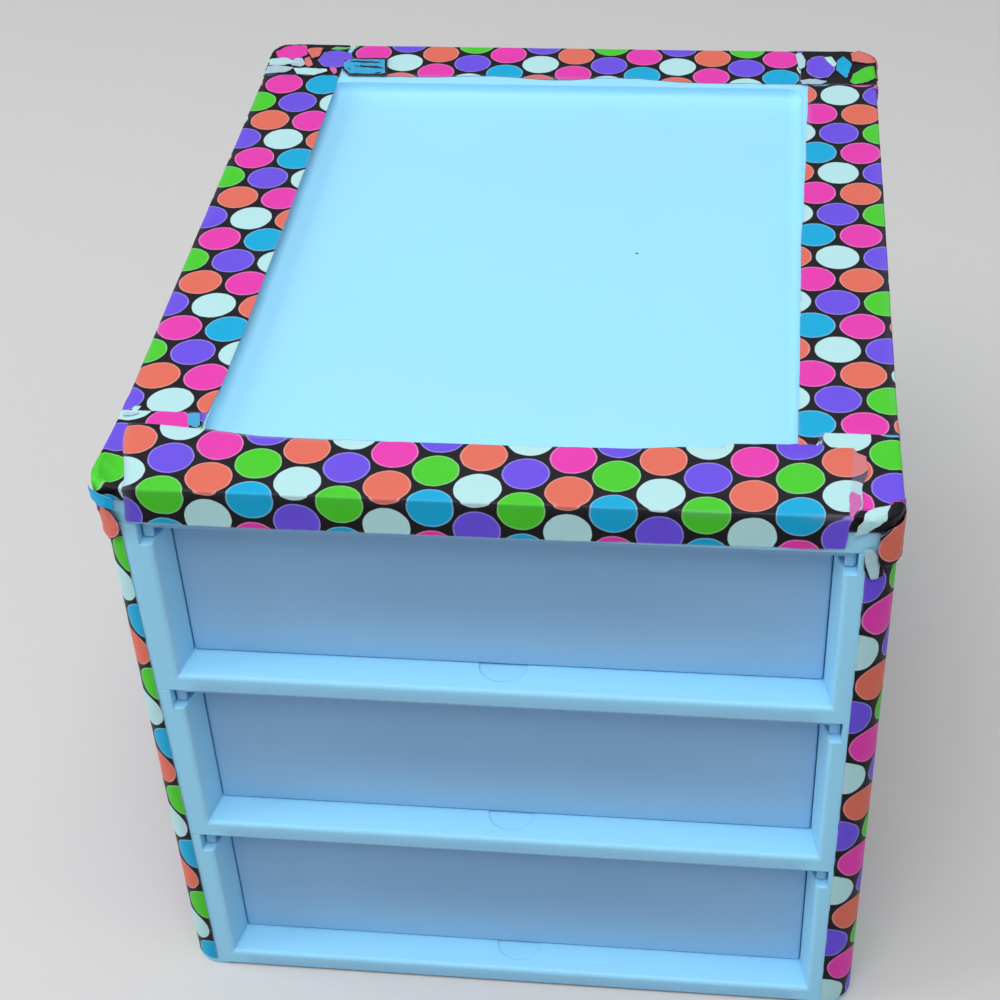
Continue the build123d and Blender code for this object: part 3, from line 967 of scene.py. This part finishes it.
def make_side_strip(hand, word, number, start, end):
    """An upright strip over a side, from start to end along the outline. The first goes round the corner."""
    name = "side_" + word + "_" + str(number)
    seed = 60.0 + 10.0 * hand + number
    phase = strip_phases[number - 1]
    (foot_run, head_run), dot, dot_place, steps = corner_strips[hand]
    corner_print = print_from(dot, dot_place, steps)
    if number == 1:
        fore = ragged([(strip_base, foot_run), (strip_top, head_run)], seed, 0.3, 4.0)
    else:
        fore = ragged([(0.0, start - 0.2)], seed, 0.3, 9.0)
    aft = ragged([(0.0, end + (1.4 if number < strips_per_side else 0.0))], seed + 0.5, 0.3, 9.0)
    foot = ragged([(0.0, strip_base)], seed + 0.2, 0.4, 6.0)
    head = ragged([(0.0, strip_top)], seed + 0.7, 0.4, 6.0)

    def printed(run, z):
        if number == 1:
            return corner_print(z, run)
        column = phase * 3.0 + z / column_pitch
        return column, 2.0 * number + (run - start + 20.0 * phase) / half_row_pitch

    def lift(run, z):
        lap = layer * ease(run, start + 3.2, start + 1.6) if number > 1 else 0.0
        return lay_height + lap + 0.12 * rough(run, z, seed, 16.0)

    low_run = min(fore(strip_base), fore(strip_top)) - 1.0
    if number == 1:
        xs = stops(
            (low_run, straight_side, 0.7), (straight_side, corner_end, 0.8), (corner_end, end + 2.5, 3.0),
        )
    else:
        xs = stops((low_run, low_run + 3.6, 0.6), (low_run + 3.6, end + 2.5, 3.4))
    ys = stops(
        (strip_base - 0.8, strip_base + 2.0, 0.7),
        (strip_base + 2.0, strip_top - 2.0, 4.0),
        (strip_top - 2.0, strip_top + 0.8, 0.7),
    )
    inside = within(fore, aft, foot, head)
    piece = lay_tape("dotted_" + name, xs, ys, inside, around(hand), printed, lift, None, hand < 0)
    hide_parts("tape_" + name)


def make_side_strips():
    """The upright strips over both sides, from the front to the back."""
    for hand, word in ((-1, "left"), (1, "right")):
        start = 0.0
        for number, edge in enumerate(side_edges, 1):
            end = corner_end + straight_front + edge
            make_side_strip(hand, word, number, start, end)
            start = end


def finish_cad_nodes():
    """Gives the moulded pieces their finishes."""
    frame_finish = moulded_plastic("moulded_plastic")
    tray_finish = moulded_plastic("moulded_tray", in_tray=True)
    drawer_finish = frosted_plastic()
    for name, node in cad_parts.items():
        finish = drawer_finish if name.startswith("drawer") else frame_finish
        finish = tray_finish if name == "top_cover" else finish
        node.data.materials.clear()
        node.data.materials.append(finish)


def make_floor():
    """A plain pale floor that runs well past the view."""
    mesh = bpy.data.meshes.new("studio_floor")
    corners = [(x * floor_reach, y * floor_reach, 0) for x, y in ((-1, -1), (1, -1), (1, 1), (-1, 1))]
    mesh.from_pydata(corners, [], [(0, 1, 2, 3)])
    mesh.materials.append(pale_floor())
    floor = add_object("studio_floor", mesh)


def make_backdrop():
    """A round sweep that rises from the floor, so that a low view ends in the same pale paint."""
    paint = Finish("backdrop_paint")
    points, faces = [], []
    for ring in range(backdrop_rings + 1):
        turn = pi / 2 * ring / backdrop_rings
        reach = backdrop_reach + backdrop_bend * sin(turn)
        height = backdrop_bend * (1.0 - cos(turn))
        for step in range(backdrop_sides):
            angle = 2 * pi * step / backdrop_sides
            points.append((reach * cos(angle), reach * sin(angle), height))
    for ring in range(backdrop_rings):
        for step in range(backdrop_sides):
            low = ring * backdrop_sides + step
            next_low = ring * backdrop_sides + (step + 1) % backdrop_sides
            faces.append((next_low, low, low + backdrop_sides, next_low + backdrop_sides))
    mesh = bpy.data.meshes.new("studio_backdrop")
    mesh.from_pydata(points, [], faces)
    mesh.shade_smooth()
    glow = {"emission_color": floor_paint, "emission_strength": backdrop_glow}
    mesh.materials.append(paint.surface(base_color=floor_paint, roughness=0.8, **glow))
    backdrop = add_object("studio_backdrop", mesh)
    backdrop.visible_diffuse = False
    backdrop.visible_glossy = False
    backdrop.visible_shadow = False


def add_softbox(name, elevation, turn, power):
    """A large square area light aimed at the unit, turned to the right of straight ahead."""
    light = bpy.data.lights.new(name, "AREA")
    light.size = softbox_size
    light.energy = power
    holder = add_object(name, light)
    middle = Vector((0.0, 0.0, light_height))
    away = Vector((cos(elevation) * sin(turn), -cos(elevation) * cos(turn), sin(elevation)))
    holder.location = middle + away * light_distance
    holder.rotation_euler = (-away).to_track_quat("-Z", "Y").to_euler()


def light_studio():
    """Soft light from the sky, from high in front and from the left, weaker from the right and behind."""
    world = bpy.data.worlds.new("studio")
    bpy.context.scene.world = world
    world.use_nodes = True
    nodes, links = world.node_tree.nodes, world.node_tree.links
    nodes.clear()
    place = nodes.new("ShaderNodeTexCoord")
    split = nodes.new("ShaderNodeSeparateXYZ")
    height = nodes.new("ShaderNodeMath")
    height.operation = "POWER"
    height.use_clamp = True
    height.inputs[1].default_value = sky_falloff
    background = nodes.new("ShaderNodeBackground")
    background.inputs["Strength"].default_value = sky_strength
    output = nodes.new("ShaderNodeOutputWorld")
    links.new(place.outputs["Generated"], split.inputs[0])
    links.new(split.outputs[2], height.inputs[0])
    links.new(height.outputs[0], background.inputs["Color"])
    links.new(background.outputs[0], output.inputs["Surface"])
    for name, elevation, turn, power in softboxes:
        add_softbox(name, radians(elevation), radians(turn), power)


def place_camera():
    """Stands the camera where the photograph was taken from."""
    camera = add_object("camera", bpy.data.cameras.new("camera"))
    camera.data.sensor_width = camera_sensor
    camera.data.lens = camera_lens
    camera.data.clip_start = 0.01
    camera.data.clip_end = 50.0
    eye = Vector(camera_eye) * MM
    look = Vector(camera_aim) * MM - eye
    turned = Matrix.Rotation(radians(-camera_roll), 4, look.normalized())
    aimed = look.to_track_quat("-Z", "Y").to_matrix().to_4x4()
    camera.matrix_world = Matrix.Translation(eye) @ turned @ aimed
    bpy.context.scene.camera = camera


tape_finish = dotted_tape()
finish_cad_nodes()
make_side_strips()
make_side_top_strip(-1, "left", left_reach, left_print, left_fore_end)
make_side_top_strip(1, "right", right_reach, right_print, right_fore_end)
make_back_strip()
make_corner_patches()
make_front_strip()
make_corner_scraps()
make_floor()
make_backdrop()
light_studio()
place_camera()
bpy.context.scene.view_settings.view_transform = "Standard"
bpy.context.scene.view_settings.look = "None"
